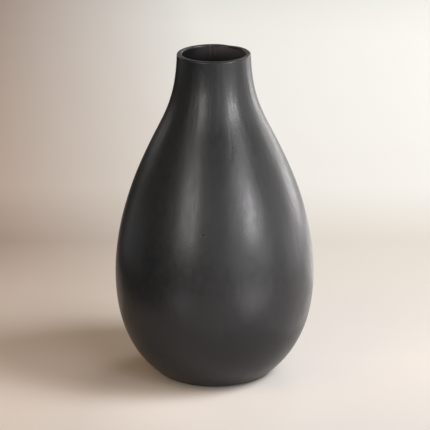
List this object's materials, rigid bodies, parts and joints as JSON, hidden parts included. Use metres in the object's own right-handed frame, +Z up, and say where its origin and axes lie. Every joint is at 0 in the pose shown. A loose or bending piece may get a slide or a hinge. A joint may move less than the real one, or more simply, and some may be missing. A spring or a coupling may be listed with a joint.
{
  "type": "black clay vase",
  "caption": "Tall teardrop vase of satin black clay with a round belly, a sloping shoulder, a short open neck and a flat foot.",
  "frame": {"origin": "centre of the foot, on the surface that the vase stands on", "axes": "+Z up along the vase's axis, from the foot to the mouth; the vase is round, so +X and +Y are free"},
  "size_m": [0.185, 0.185, 0.305],
  "materials": {
    "burnished_black_clay": "satin, hand-burnished charcoal black, unglazed"
  },
  "bodies": {
    "root": {"base_bowl": "burnished_black_clay", "lower_belly_coil": "burnished_black_clay", "upper_belly_coil": "burnished_black_clay", "lower_shoulder_coil": "burnished_black_clay", "upper_shoulder_coil": "burnished_black_clay", "neck_coil": "burnished_black_clay", "lip_coil": "burnished_black_clay"}
  },
  "joints": []
}
